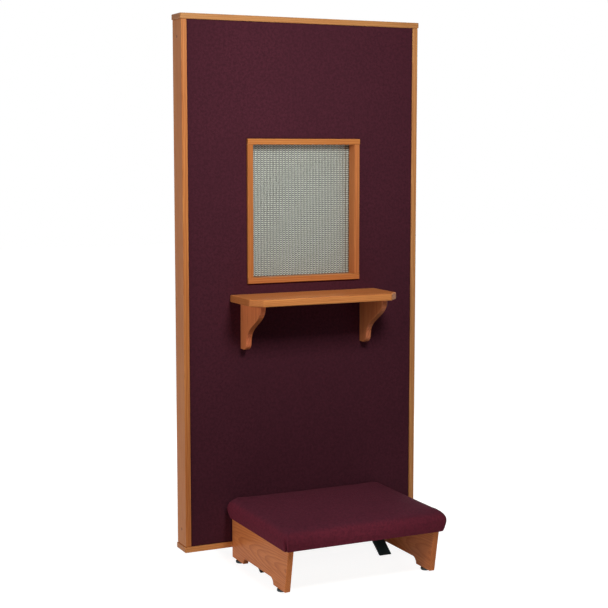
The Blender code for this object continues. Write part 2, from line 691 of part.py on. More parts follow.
def pad_ring(inset):
    """List a ring of the pad: a round-cornered rectangle whose sides are drawn in between the corners."""
    half_x = PAD_HALF_X - inset
    half_y = PAD_HALF_Y - inset
    radius = min(PAD_CORNER_RADIUS, half_x - PAD_DRAW_IN, half_y - PAD_DRAW_IN)
    centres = [
        (half_x - radius, half_y - radius),
        (-half_x + radius, half_y - radius),
        (-half_x + radius, -half_y + radius),
        (half_x - radius, -half_y + radius),
    ]
    points = []
    for quarter, centre in enumerate(centres):
        corner = arc(centre, radius, 90 * quarter, 90 * quarter + 90, CURVE_STEPS - 2)
        points += corner
        start = corner[-1]
        after = centres[(quarter + 1) % 4]
        turn = math.radians(90 * quarter + 90)
        end = (after[0] + radius * math.cos(turn), after[1] + radius * math.sin(turn))
        for step in range(1, CURVE_STEPS):
            part = step / CURVE_STEPS
            pull = PAD_DRAW_IN * 4 * part * (1 - part)
            points.append((
                start[0] + (end[0] - start[0]) * part - pull * math.cos(turn),
                start[1] + (end[1] - start[1]) * part - pull * math.sin(turn),
            ))
    return points


def add_rings(builder, rings):
    """Loft a stack of pad rings and close the last one. Return the first ring's points."""
    stack = []
    for inset, height in rings:
        stack.append([builder.verts.new((x, y, height)) for x, y in pad_ring(inset)])
    count = len(stack[0])
    for lower, upper in zip(stack, stack[1:]):
        for step in range(count):
            after = (step + 1) % count
            builder.faces.new((lower[step], lower[after], upper[after], upper[step]))
    builder.faces.new(stack[-1])
    return stack[0]


def build_pad(kneeler):
    """Make the seat board, the crowned foam on it and the fabric cover drawn over both."""
    place = (0.0, (PAD_BACK_Y + PAD_FRONT_Y) / 2, SEAT_FOOT_Z)
    board_inset = PAD_TUCK + COVER_THICKNESS + SEAT_GAP
    board_place = (place[0], place[1], SEAT_FOOT_Z + SEAT_BOARD / 2)
    prism("seat_board", pad_ring(board_inset), "Z", SEAT_BOARD, board_place, kneeler, SOFTWOOD)

    builder = bmesh.new()
    foam_foot = SEAT_BOARD + SEAT_GAP
    builder.faces.new(add_rings(builder, pad_profile(COVER_THICKNESS + SEAT_GAP, foam_foot)))
    foam = add_piece("seat_foam", builder, place, kneeler, FOAM)

    builder = bmesh.new()
    outer_rim = add_rings(builder, pad_profile(0.0, 0.0))
    inner_rim = add_rings(builder, pad_profile(COVER_THICKNESS, 0.0))
    count = len(outer_rim)
    for step in range(count):
        after = (step + 1) % count
        builder.faces.new((outer_rim[step], outer_rim[after], inner_rim[after], inner_rim[step]))
    cover = add_piece("seat_cover", builder, place, kneeler, PAD_CLOTH)
    for soft in (foam, cover):
        soft.data.shade_smooth()


def main():
    clear_scene()
    screen = group("screen", (0.0, MIDDLE_Y, 0.0))
    kneeler = group("kneeler_slide", (0.0, KNEELER_BACK_Y, 0.0))
    rails = build_frame(screen)
    build_core(screen)
    build_skins(screen)
    build_window(screen)
    build_mesh(screen)
    build_shelf(screen)
    build_feet(screen, rails["bottom_rail"])
    build_kneeler_frame(kneeler)
    build_pad(kneeler)


main()
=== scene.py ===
"""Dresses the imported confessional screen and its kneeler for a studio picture.

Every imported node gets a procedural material. The panel cloth, the window's wire and the kneeler's pad get
meshes of their own. Lengths are in metres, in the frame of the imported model.
"""

import math

import bmesh
import bpy
import numpy as np
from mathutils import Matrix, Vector


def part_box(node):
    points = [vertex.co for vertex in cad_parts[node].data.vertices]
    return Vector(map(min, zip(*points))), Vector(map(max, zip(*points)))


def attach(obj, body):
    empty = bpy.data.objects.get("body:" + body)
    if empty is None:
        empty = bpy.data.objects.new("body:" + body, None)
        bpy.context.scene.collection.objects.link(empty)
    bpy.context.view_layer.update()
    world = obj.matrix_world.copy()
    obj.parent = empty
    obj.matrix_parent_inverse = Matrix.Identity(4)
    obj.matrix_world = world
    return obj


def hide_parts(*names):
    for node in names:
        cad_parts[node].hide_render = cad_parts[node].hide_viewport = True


# Camera: place in metres, angles in degrees, lens and sensor in millimetres.
CAMERA_PLACE = (-2.0762, -4.2385, 1.4288)
CAMERA_TILT = 83.5458
CAMERA_TURN = -25.5267
CAMERA_LENS = 81.725
CAMERA_SENSOR = 36.0

# Light: places and sizes in metres, spreads in degrees, power in watts.
KEY_PLACE = (-0.15, -1.45, 2.06)
KEY_TARGET = (-0.20, 0.11, 1.10)
KEY_SIZE = 0.46
KEY_SPREAD = 160.0
KEY_POWER = 19.6
FRONT_PLACE = (-0.35, -1.35, 0.42)
FRONT_TARGET = (0.0, -0.42, 0.05)
FRONT_SIZE = 0.5
FRONT_SPREAD = 44.0
FRONT_POWER = 0.27
FILL_PLACE = (-4.4, -0.45, 1.25)
FILL_TARGET = (0.0, 0.0, 0.9)
FILL_SIZE = 2.2
FILL_SPREAD = 180.0
FILL_POWER = 70.0
BACK_PLACE = (1.5, 2.5, 1.9)
BACK_TARGET = (0.0, 0.19, 0.95)
BACK_SIZE = 1.4
BACK_SPREAD = 140.0
BACK_POWER = 34.0
AMBIENT = 0.035

# Floor. Its glow goes from near to far over the distances in FLOOR_FADE.
FLOOR_SIZE = 30.0
FLOOR_ALBEDO = 0.36
FLOOR_BOUNCE = (0.75, 0.75, 0.75, 1.0)
FLOOR_GLOW_NEAR = 0.90
FLOOR_GLOW_FAR = 1.0
FLOOR_FADE = (0.7, 2.2)
FLOOR_MOTTLE = 0.01
FLOOR_MOTTLE_SPAN = (0.3, 0.7)
FLOOR_MOTTLE_SCALE = 3.0

# Panel cloth.
CLOTH_PROUD = 0.0012
CLOTH_ROLL_WIDTH = 0.006
CLOTH_ROLL_DEPTH = 0.0024
CLOTH_STEP = 0.030
CLOTH_EDGE_LINES = (0.0008, 0.0020, 0.0038, 0.0060, 0.0120)
CLOTH_GAP = 0.0003
CLOTH_WAVER = 0.00025
# Its waves: radians per metre across and upwards, and share of the waver.
CLOTH_WAVES = ((9.0, 4.0, 1.0), (-7.0, 23.0, 0.6))

# Woven flat wire. WIRE_KNUCKLE is the share of the pitch on each side of a crossing where a wire stays up.
# WIRE_RAISED is the depth from the weave's middle over which its painted shade goes from dark to pale.
WIRE_PITCH_ACROSS = 0.0117
WIRE_PITCH_UP = 0.0068
WIRE_WIDTH_UPRIGHT = 0.0106
WIRE_WIDTH_LEVEL = 0.0055
WIRE_THICKNESS = 0.0022
WIRE_SIDES = 8
WIRE_KNUCKLE = 0.25
WIRE_RAISED = (0.0002, 0.0018)
# Painted shade: the next three values are its shares between the rows, between the columns and along the
# sill.
WIRE_ROW_SHADE = 0.84
WIRE_COLUMN_SHADE = 0.36
WIRE_SILL_SHADE = 0.90
WIRE_SILL_REACH = 0.005

# Pad. PAD_START_OUTSET makes up for what the smoothing takes off the start form.
PAD_START_OUTSET = 0.0015
PAD_CORNER = 0.016
PAD_ROLL = 0.034
PAD_TUCK = 0.008
PAD_CROWN = 0.016
PAD_FLAT = 0.082
PAD_DRAW_IN = 0.001
PAD_SKIRT = 0.012
PAD_VOXEL = 0.006
PAD_SWELL_CAP = 0.003
PAD_HELD_HEIGHT = 0.008
PAD_FRAMES = 20
PAD_STEPS = 8
PAD_FILLING = {
    "quality": 6,
    "mass": 0.3,
    "tension_stiffness": 12.0,
    "compression_stiffness": 12.0,
    "shear_stiffness": 4.0,
    "bending_stiffness": 3.0,
    "shrink_min": -0.006,
    "use_pressure": True,
    "uniform_pressure_force": 4.0,
}
BOARD_GAP = 0.0004

# Folds at the pad's corners. FOLD_REFINED and FOLD_START are in corner radii, FOLD_HALF_TURN in radians.
FOLD_DEPTH = 0.010
FOLD_WIDTH = 0.0034
FOLD_PUFF = 0.0020
FOLD_PUFF_PLACE = 0.008
FOLD_PUFF_WIDTH = 0.005
FOLD_HEIGHT = 0.060
FOLD_FADE_POWER = 0.6
FOLD_REFINED = 2.6
FOLD_CUTS = 2
FOLD_START = 0.4
FOLD_HALF_TURN = 1.2
SMALLEST_LENGTH = 1e-9

# Materials. Colours are linear red, green, blue. Scales are per metre, and one with three values runs along
# the grain first, then across it. Levels, of two or four values, give the span of a texture and what its two
# ends become. Bumps give strength and distance.
WAVE_RATE = 20.0
EDGE_SAMPLES = 6
EDGE_COSINES = (0.995, 0.80)
END_GRAIN_FACING = (0.35, 0.95)
FACE_FACING = (0.45, 0.90)

OAK_PALE = (0.66, 0.252, 0.068, 1.0)
OAK_DEEP = (0.45, 0.130, 0.034, 1.0)
OAK_PORE = (0.21, 0.056, 0.019, 1.0)
OAK_END = (0.29, 0.086, 0.026, 1.0)
OAK_WANDER_SCALE = (2.0, 9.0, 9.0)
OAK_FIBRE_SCALE = (5.0, 150.0, 150.0)
OAK_PORE_SCALE = (16.0, 620.0, 620.0)
OAK_RING_SCALE = 58.0
OAK_RING_WARP = 5.0
OAK_RING_WARP_SCALE = 0.10
OAK_FIGURE = (0.30, 1.0, 0.0, 0.62)
OAK_STREAK = (0.40, 0.75, 0.0, 0.45)
OAK_BROAD = (0.30, 0.70, 0.0, 0.35)
OAK_OPEN_PORE = (0.60, 0.76, 0.0, 0.55)
OAK_STAIN_SHARE = 0.55
# Radius, share and gain of the painted highlight on the oak's rounded edges.
OAK_HIGHLIGHT_RADIUS = 0.0022
OAK_HIGHLIGHT_SHARE = 0.50
OAK_HIGHLIGHT_GAIN = 1.15
OAK_ROUGHNESS = (0.45, 0.75, 0.36, 0.58)
OAK_RING_RELIEF = 0.25
OAK_BUMP = (0.22, 0.0004)
OAK_SPECULAR = 0.06

PANEL_RED = (0.095, 0.0215, 0.0350, 1.0)
PANEL_DARK = (0.060, 0.0155, 0.0245, 1.0)
PAD_RED = (0.176, 0.0255, 0.0440, 1.0)
PAD_DARK = (0.112, 0.0185, 0.0315, 1.0)
# Painted shade: multipliers that darken the pad's upper face.
PAD_TOP_SHADE = (0.73, 0.95, 0.95)
PANEL_SHEEN, PAD_SHEEN = 0.02, 0.03
PANEL_THREAD, PAD_THREAD = 0.0014, 0.0016
YARN_SCALE = 420.0
SLUB_SCALE = 110.0
CLOUD_SCALE = 5.0
YARN_MOTTLE = (0.36, 0.64)
YARN_RELIEF = 1.4
WEAVE_CROSSING = (0.6, 2.2, 0.35, 0.0)
WEAVE_FADED = (0.35, 0.70, 0.0, 0.22)
WEAVE_ROUGHNESS = (0.3, 0.7, 0.82, 0.96)
WEAVE_BUMP = (0.35, 0.0005)
WEAVE_SPECULAR = 0.04
SHEEN_ROUGHNESS = 0.45
SHEEN_TINT = (0.55, 0.16, 0.22, 1.0)

WIRE_PALE = (0.655, 0.690, 0.588, 1.0)
WIRE_DULL = (0.460, 0.480, 0.415, 1.0)
# Colour of the painted shade in the weave.
WIRE_SHADE_COLOUR = (0.045, 0.052, 0.047, 1.0)
SPANGLE_SCALE = 260.0
SPANGLE = (0.35, 0.70, 0.0, 0.25)
WIRE_ROUGHNESS = (0.3, 0.7, 0.40, 0.55)
WIRE_BUMP = (0.08, 0.0003)
WIRE_METALLIC = 0.25

# Black coatings: colour, roughness and texture scale.
STEEL_COAT = ((0.0055, 0.0175, 0.0210, 1.0), 0.60, 900.0)
PLASTIC_COAT = ((0.0055, 0.0165, 0.0195, 1.0), 0.55, 1400.0)
COAT_RUBBED = (0.05, 0.055, 0.055, 1.0)
COAT_RUB_RADIUS = 0.0012
COAT_RUB_SHARE = 0.30
COAT_SPECK = (0.3, 0.7)
COAT_SPECK_ROUGHNESS = (-0.08, 0.10)
COAT_BUMP = (0.20, 0.0003)
DUST = (0.4, 0.75, 0.0, 0.45)
DUST_SCALE = 22.0
DUST_GAIN = 2.6

PINE_PALE = (0.62, 0.42, 0.22, 1.0)
PINE_DEEP = (0.42, 0.25, 0.11, 1.0)
PINE_STREAK_SCALE = (3.0, 90.0, 90.0)
PINE_FINE_SCALE = (30.0, 800.0, 800.0)
PINE_STREAK = (0.36, 0.66)
PINE_FINE = (0.5, 0.8, 0.0, 0.3)
PINE_ROUGHNESS = (0.3, 0.7, 0.62, 0.82)
PINE_BUMP = (0.20, 0.0003)

HARDBOARD_DARK = (0.10, 0.055, 0.03, 1.0)
HARDBOARD_PALE = (0.20, 0.12, 0.065, 1.0)
HARDBOARD_STAIN = (0.09, 0.05, 0.03, 1.0)
HARDBOARD_FIBRE_SCALE = 300.0
HARDBOARD_CLOUD_SCALE = 9.0
HARDBOARD_FIBRE = (0.35, 0.68)
HARDBOARD_CLOUD = (0.35, 0.7, 0.0, 0.25)
HARDBOARD_ROUGHNESS = (0.3, 0.7, 0.6, 0.8)
HARDBOARD_BUMP = (0.25, 0.0003)


class Nodes:
    """Short calls that add linked shader nodes to one node tree."""

    def __init__(self, tree):
        self.tree = tree

    def fill(self, socket, value):
        """Links a socket to an output, or sets it to a constant."""
        if isinstance(value, bpy.types.NodeSocket):
            self.tree.links.new(value, socket)
        else:
            socket.default_value = value

    def add(self, kind, inputs=None, **settings):
        """A new node with its inputs filled and its settings made."""
        node = self.tree.nodes.new("ShaderNode" + kind)
        for name, value in settings.items():
            setattr(node, name, value)
        for name, value in (inputs or {}).items():
            self.fill(node.inputs[name], value)
        return node

    def math(self, operation, first, second=0.0):
        """One operation on one or two numbers."""
        return self.add("Math", {0: first, 1: second}, operation=operation).outputs[0]

    def noise(self, vector, scale, detail=3.0):
        """Noise from about 0 to 1, with one scale or a scale for each axis."""
        if isinstance(scale, tuple):
            vector, scale = self.add("Mapping", {"Vector": vector, "Scale": scale}).outputs[0], 1.0
        inputs = {"Vector": vector, "Scale": scale, "Detail": detail}
        return self.add("TexNoise", inputs).outputs["Fac"]

    def bands(self, vector, axis, pitch):
        """A smooth wave from 0 to 1 that repeats every pitch metres along an axis.

        The wave texture takes the sine of WAVE_RATE times its scaled coordinate.
        """
        inputs = {"Vector": vector, "Scale": 2.0 * math.pi / (WAVE_RATE * pitch), "Distortion": 0.0}
        return self.add("TexWave", inputs, bands_direction=axis).outputs["Fac"]

    def ramp(self, value, *stops):
        """Turns a value into a colour, by stops of a place and a colour."""
        node = self.add("ValToRGB", {"Fac": value})
        elements = node.color_ramp.elements
        while len(elements) < len(stops):
            elements.new(0.5)
        for element, (place, colour) in zip(elements, stops):
            element.position = place
            element.color = colour
        return node.outputs["Color"]

    def levels(self, value, low, high, to_low=0.0, to_high=1.0):
        """Maps low to to_low and high to to_high along a smooth step, and holds these beyond."""
        inputs = {"Value": value, "From Min": low, "From Max": high, "To Min": to_low, "To Max": to_high}
        return self.add("MapRange", inputs, interpolation_type="SMOOTHSTEP").outputs["Result"]

    def mix(self, factor, first, second, blend="MIX"):
        """Blends two colours. Inputs 6 and 7 and output 2 are a Mix node's colour sockets."""
        node = self.add("Mix", {0: factor, 6: first, 7: second}, data_type="RGBA", blend_type=blend)
        return node.outputs[2]

    def bump(self, height, strength, distance):
        """Surface relief from a height."""
        inputs = {"Height": height, "Strength": strength, "Distance": distance}
        return self.add("Bump", inputs).outputs["Normal"]


def empty_tree(owner):
    """The node helper of a material or world that starts with no nodes."""
    owner.use_nodes = True
    owner.node_tree.nodes.clear()
    return Nodes(owner.node_tree)


def new_material(name):
    """A material with one Principled shader, its node helper and the object's coordinates in metres."""
    made = bpy.data.materials.new(name)
    nodes = empty_tree(made)
    shader = nodes.add("BsdfPrincipled")
    end = nodes.add("OutputMaterial")
    nodes.fill(end.inputs["Surface"], shader.outputs["BSDF"])
    place = nodes.add("TexCoord").outputs["Object"]
    return made, nodes, shader, place


def along_grain(nodes, place, grain):
    """Turns the coordinates so that the grain runs along the first axis."""
    apart = nodes.add("SeparateXYZ", {0: place}).outputs
    order = {"X": (0, 1, 2), "Y": (1, 0, 2), "Z": (2, 0, 1)}[grain]
    return nodes.add("CombineXYZ", {i: apart[axis] for i, axis in enumerate(order)}).outputs[0]


def facing_axis(nodes, axis, span):
    """From 0 on faces along an axis of the object to 1 on faces square to it, over a span of cosines."""
    normal = nodes.add("SeparateXYZ", {0: nodes.add("TexCoord").outputs["Normal"]}).outputs
    return nodes.levels(nodes.math("ABSOLUTE", normal["XYZ".index(axis)]), *span)


def rounded_edges(nodes, radius):
    """From 0 on the faces to 1 on the rounded edges, where the oak takes a painted highlight and the black
    coat its wear.
    """
    rounded = nodes.add("Bevel", {"Radius": radius}, samples=EDGE_SAMPLES).outputs["Normal"]
    flat = nodes.add("NewGeometry").outputs["Normal"]
    inputs = {0: rounded, 1: flat}
    agree = nodes.add("VectorMath", inputs, operation="DOT_PRODUCT").outputs["Value"]
    return nodes.levels(agree, *EDGE_COSINES)


def oak(name, grain, pith, tilt, tone, stain=OAK_STAIN_SHARE, painted_face_light=None):
    """Varnished oak, whose growth rings circle a pith line along the grain, at an offset and a tilt.

    The ends of the grain take a share of dark stain. The last argument gives an axis, and multipliers that
    paint light or shade on the faces square to it, as the lamps light them.
    """
    made, nodes, shader, place = new_material(name)
    turned = along_grain(nodes, place, grain)
    end_grain = facing_axis(nodes, grain, END_GRAIN_FACING)
    wander = nodes.noise(turned, OAK_WANDER_SCALE)
    lean = (0.0, math.radians(tilt[0]), math.radians(tilt[1]))
    ringed = nodes.add("Mapping", {"Vector": turned, "Location": pith, "Rotation": lean}).outputs[0]
    inputs = {
        "Vector": ringed,
        "Scale": OAK_RING_SCALE,
        "Distortion": OAK_RING_WARP,
        "Detail": 2.0,
        "Detail Scale": OAK_RING_WARP_SCALE,
    }
    kind = {"wave_type": "RINGS", "rings_direction": "X", "wave_profile": "SAW"}
    rings = nodes.add("TexWave", inputs, **kind).outputs["Fac"]
    pores = nodes.noise(turned, OAK_PORE_SCALE)
    fibre = nodes.noise(turned, OAK_FIBRE_SCALE)

    pale = [*np.multiply(tone, OAK_PALE[:3]), 1.0]
    deep = [*np.multiply(tone, OAK_DEEP[:3]), 1.0]
    body = nodes.mix(nodes.levels(rings, *OAK_FIGURE), pale, deep)
    body = nodes.mix(nodes.levels(fibre, *OAK_STREAK), body, deep)
    body = nodes.mix(nodes.levels(wander, *OAK_BROAD), body, deep)
    open_pore = nodes.levels(pores, *OAK_OPEN_PORE)
    body = nodes.mix(open_pore, body, OAK_PORE)
    # Painted highlight: the oak's rounded edges are lightened towards a paler tone.
    highlit = [min(1.0, OAK_HIGHLIGHT_GAIN * part) for part in pale]
    edge_wear_and_highlight = nodes.math("MULTIPLY", rounded_edges(nodes, OAK_HIGHLIGHT_RADIUS), OAK_HIGHLIGHT_SHARE)
    body = nodes.mix(edge_wear_and_highlight, body, highlit)
    body = nodes.mix(nodes.math("MULTIPLY", end_grain, stain), body, OAK_END)
    if painted_face_light:
        axis, shade = painted_face_light
        squarely = facing_axis(nodes, axis, FACE_FACING)
        body = nodes.mix(squarely, body, (*shade, 1.0), "MULTIPLY")
    nodes.fill(shader.inputs["Base Color"], body)

    nodes.fill(shader.inputs["Roughness"], nodes.levels(pores, *OAK_ROUGHNESS))
    relief = nodes.math("SUBTRACT", nodes.math("MULTIPLY", rings, OAK_RING_RELIEF), open_pore)
    nodes.fill(shader.inputs["Normal"], nodes.bump(relief, *OAK_BUMP))
    shader.inputs["Specular IOR Level"].default_value = OAK_SPECULAR
    return made


def cloth(name, bright, dark, sheen, thread, top_shade=None):
    """A tight upholstery weave with mottled yarn and a soft nap.

    The last argument gives multipliers that darken the upper face as painted shade.
    """
    made, nodes, shader, place = new_material(name)
    waves = [nodes.bands(place, axis, thread) for axis in "XYZ"]
    weave = nodes.math("ADD", nodes.math("ADD", waves[0], waves[1]), waves[2])
    yarn = nodes.noise(place, YARN_SCALE)
    slub = nodes.noise(place, SLUB_SCALE)
    cloud = nodes.noise(place, CLOUD_SCALE)
    mottle = nodes.math("MULTIPLY", nodes.math("ADD", yarn, slub), 0.5)
    body = nodes.mix(nodes.levels(mottle, *YARN_MOTTLE), dark, bright)
    body = nodes.mix(nodes.levels(weave, *WEAVE_CROSSING), body, dark)
    body = nodes.mix(nodes.levels(cloud, *WEAVE_FADED), body, dark)
    # Painted shade: the upper face is darkened by these multipliers.
    if top_shade:
        upward = facing_axis(nodes, "Z", FACE_FACING)
        body = nodes.mix(upward, body, (*top_shade, 1.0), "MULTIPLY")
    nodes.fill(shader.inputs["Base Color"], body)
    nodes.fill(shader.inputs["Roughness"], nodes.levels(yarn, *WEAVE_ROUGHNESS))
    relief = nodes.math("ADD", weave, nodes.math("MULTIPLY", yarn, YARN_RELIEF))
    nodes.fill(shader.inputs["Normal"], nodes.bump(relief, *WEAVE_BUMP))
    shader.inputs["Sheen Weight"].default_value = sheen
    shader.inputs["Sheen Roughness"].default_value = SHEEN_ROUGHNESS
    shader.inputs["Sheen Tint"].default_value = SHEEN_TINT
    shader.inputs["Specular IOR Level"].default_value = WEAVE_SPECULAR
    return made


def wire_metal(name):
    """Flattened steel wire with a dull zinc coat, with painted shade in the recesses of the weave and along
    the sill.
    """
    made, nodes, shader, place = new_material(name)
    first, pitch, _, middle_y = wire_grid()
    depth = nodes.math("SUBTRACT", nodes.add("SeparateXYZ", {0: place}).outputs[1], middle_y)
    raised = nodes.levels(nodes.math("ABSOLUTE", depth), *WIRE_RAISED)
    inputs = {0: place, 1: (first[0], 0.0, first[1])}
    gridded = nodes.add("VectorMath", inputs, operation="SUBTRACT").outputs["Vector"]
    between_columns = nodes.bands(gridded, "X", pitch[0])
    between_rows = nodes.bands(gridded, "Z", pitch[1])
    # Painted shade in bands between the rows and the columns, and along the sill where the weave meets it.
    painted_shade = nodes.math("MULTIPLY", between_rows, WIRE_ROW_SHADE)
    painted_shade = nodes.math("ADD", painted_shade, nodes.math("MULTIPLY", between_columns, WIRE_COLUMN_SHADE))
    above_first = nodes.add("SeparateXYZ", {0: gridded}).outputs[2]
    sill = -pitch[1] / 2.0
    at_sill = nodes.levels(above_first, sill + WIRE_SILL_REACH, sill, 0.0, WIRE_SILL_SHADE)
    painted_shade = nodes.math("ADD", painted_shade, nodes.math("MULTIPLY", at_sill, between_columns))
    spangle = nodes.noise(place, SPANGLE_SCALE)
    # Painted shade: the weave is darker where it lies deeper.
    body = nodes.mix(raised, WIRE_SHADE_COLOUR, WIRE_PALE)
    body = nodes.mix(painted_shade, body, WIRE_SHADE_COLOUR)
    body = nodes.mix(nodes.levels(spangle, *SPANGLE), body, WIRE_DULL)
    nodes.fill(shader.inputs["Base Color"], body)
    nodes.fill(shader.inputs["Roughness"], nodes.levels(spangle, *WIRE_ROUGHNESS))
    nodes.fill(shader.inputs["Normal"], nodes.bump(spangle, *WIRE_BUMP))
    shader.inputs["Metallic"].default_value = WIRE_METALLIC
    return made


def black_coat(name, base, rough, grain_scale):
    """Black coating with fine texture and slight wear on its edges."""
    made, nodes, shader, place = new_material(name)
    speck = nodes.noise(place, grain_scale, detail=4.0)
    dust = nodes.noise(place, DUST_SCALE)
    dusty = [min(1.0, DUST_GAIN * part) for part in base[:3]] + [1.0]
    body = nodes.mix(nodes.levels(dust, *DUST), base, dusty)
    edge_wear_and_highlight = nodes.math("MULTIPLY", rounded_edges(nodes, COAT_RUB_RADIUS), COAT_RUB_SHARE)
    body = nodes.mix(edge_wear_and_highlight, body, COAT_RUBBED)
    nodes.fill(shader.inputs["Base Color"], body)
    roughness = [rough + part for part in COAT_SPECK_ROUGHNESS]
    nodes.fill(shader.inputs["Roughness"], nodes.levels(speck, *COAT_SPECK, *roughness))
    nodes.fill(shader.inputs["Normal"], nodes.bump(speck, *COAT_BUMP))
    return made


def softwood(name, grain):
    """Unfinished softwood with straight soft grain."""
    made, nodes, shader, place = new_material(name)
    turned = along_grain(nodes, place, grain)
    streak = nodes.noise(turned, PINE_STREAK_SCALE, detail=4.0)
    fine = nodes.noise(turned, PINE_FINE_SCALE, detail=2.0)
    body = nodes.ramp(streak, *zip(PINE_STREAK, (PINE_DEEP, PINE_PALE)))
    body = nodes.mix(nodes.levels(fine, *PINE_FINE), body, PINE_DEEP)
    nodes.fill(shader.inputs["Base Color"], body)
    nodes.fill(shader.inputs["Roughness"], nodes.levels(fine, *PINE_ROUGHNESS))
    nodes.fill(shader.inputs["Normal"], nodes.bump(fine, *PINE_BUMP))
    return made


def pressed_board(name):
    """Brown hardboard with pressed fibre specks."""
    made, nodes, shader, place = new_material(name)
    fibre = nodes.noise(place, HARDBOARD_FIBRE_SCALE, detail=5.0)
    cloud = nodes.noise(place, HARDBOARD_CLOUD_SCALE)
    body = nodes.ramp(fibre, *zip(HARDBOARD_FIBRE, (HARDBOARD_DARK, HARDBOARD_PALE)))
    body = nodes.mix(nodes.levels(cloud, *HARDBOARD_CLOUD), body, HARDBOARD_STAIN)
    nodes.fill(shader.inputs["Base Color"], body)
    nodes.fill(shader.inputs["Roughness"], nodes.levels(fibre, *HARDBOARD_ROUGHNESS))
    nodes.fill(shader.inputs["Normal"], nodes.bump(fibre, *HARDBOARD_BUMP))
    return made


def paint(node_name, material):
    """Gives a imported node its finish."""
    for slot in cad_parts[node_name].material_slots:
        slot.material = material


def add_object(name, data):
    """Puts a new object with the given mesh, lamp or camera into the scene."""
    made = bpy.data.objects.new(name, data)
    bpy.context.scene.collection.objects.link(made)
    return made


def new_piece(name, points, faces, material, body):
    """A smooth mesh piece that rides on a body and takes the given finish."""
    mesh = bpy.data.meshes.new(name)
    mesh.from_pydata(points, [], faces)
    mesh.update()
    piece = add_object(name, mesh)
    mesh.materials.append(material)
    mesh.shade_smooth()
    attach(piece, body)
    return piece


def cloth_lines(low, high, hole_low, hole_high):
    """Grid lines over one width of the cloth, close together at its outer and window edges."""
    places = {low, high, hole_low, hole_high}
    for gap in CLOTH_EDGE_LINES:
        places |= {low + gap, high - gap, hole_low - gap, hole_high + gap}
    ordered = sorted(places)
    filled = []
    for start, stop in zip(ordered, ordered[1:]):
        count = max(1, round((stop - start) / CLOTH_STEP))
        filled += [start + (stop - start) * i / count for i in range(count)]
    return filled + [high]


def edge_distance(x, z, outer, hole):
    """How far a point of the cloth is from its nearest outer or window edge."""
    to_outer = min(x - outer[0], outer[1] - x, z - outer[2], outer[3] - z)
    across = max(hole[0] - x, x - hole[1], 0.0)
    upward = max(hole[2] - z, z - hole[3], 0.0)
    return max(0.0, min(to_outer, math.hypot(across, upward)))


def cloth_roll(distance):
    """How far the cloth's face falls back as it turns into the gap at an edge."""
    share = 1.0 - min(distance / CLOTH_ROLL_WIDTH, 1.0)
    return CLOTH_ROLL_DEPTH * (1.0 - math.sqrt(1.0 - share * share))


def cloth_waver(x, z):
    """The slight unevenness of cloth pulled over a board by hand."""
    return CLOTH_WAVER * sum(share * math.sin(a * x + b * z) for a, b, share in CLOTH_WAVES)


def panel_cloth(name, node, facing, material):
    """One stretched cover with the window cut out, turned in at every edge.

    facing is -1.0 on the front and 1.0 on the rear, as the cover's face looks along Y.
    """
    low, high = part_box(node)
    sill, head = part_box("window_sill"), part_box("window_head")
    hole_side = head[1][0] + CLOTH_GAP
    outer = (low[0], high[0], low[2], high[2])
    hole = (-hole_side, hole_side, sill[0][2] - CLOTH_GAP, head[1][2] + CLOTH_GAP)
    columns = cloth_lines(outer[0], outer[1], hole[0], hole[1])
    rows = cloth_lines(outer[2], outer[3], hole[2], hole[3])
    face_y, back_y = (low[1], high[1]) if facing < 0 else (high[1], low[1])
    points, found = [], {}
    for side in ("face", "back"):
        for i, x in enumerate(columns):
            for j, z in enumerate(rows):
                if hole[0] < x < hole[1] and hole[2] < z < hole[3]:
                    continue
                fall = cloth_roll(edge_distance(x, z, outer, hole)) + cloth_waver(x, z)
                y = face_y + facing * (CLOTH_PROUD - fall) if side == "face" else back_y
                found[side, i, j] = len(points)
                points.append((x, y, z))
    faces = []
    for i in range(len(columns) - 1):
        for j in range(len(rows) - 1):
            middle_x = (columns[i] + columns[i + 1]) / 2.0
            middle_z = (rows[j] + rows[j + 1]) / 2.0
            if hole[0] < middle_x < hole[1] and hole[2] < middle_z < hole[3]:
                continue
            corners = ((i, j), (i + 1, j), (i + 1, j + 1), (i, j + 1))
            faces.append([found["face", a, b] for a, b in corners])
            faces.append([found["back", a, b] for a, b in reversed(corners)])
    piece = new_piece(name, points, close_rim(points, faces), material, "screen")
    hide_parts(node)


def close_rim(points, faces):
    """Joins the open edges of a face layer to the back layer, so that the sheet is one closed body."""
    half = len(points) // 2
    used = set()
    for face in faces:
        used |= {(a, b) for a, b in zip(face, face[1:] + face[:1])}
    rim = [(a, b) for a, b in used if a < half and b < half and (b, a) not in used]
    return faces + [[b, a, a + half, b + half] for a, b in sorted(rim)]


def wire_path(start, stop, first, pitch, count, parity):
    """Places along one wire and its rise over and under the wires that it crosses, from -1 to 1."""
    along, rise = [start], [0.0]
    for i in range(count):
        sign = 1.0 if (i + parity) % 2 == 0 else -1.0
        for part in (-WIRE_KNUCKLE, WIRE_KNUCKLE):
            along.append(first + (i + part) * pitch)
            rise.append(sign)
    return np.array(along + [stop]), np.array(rise + [0.0])


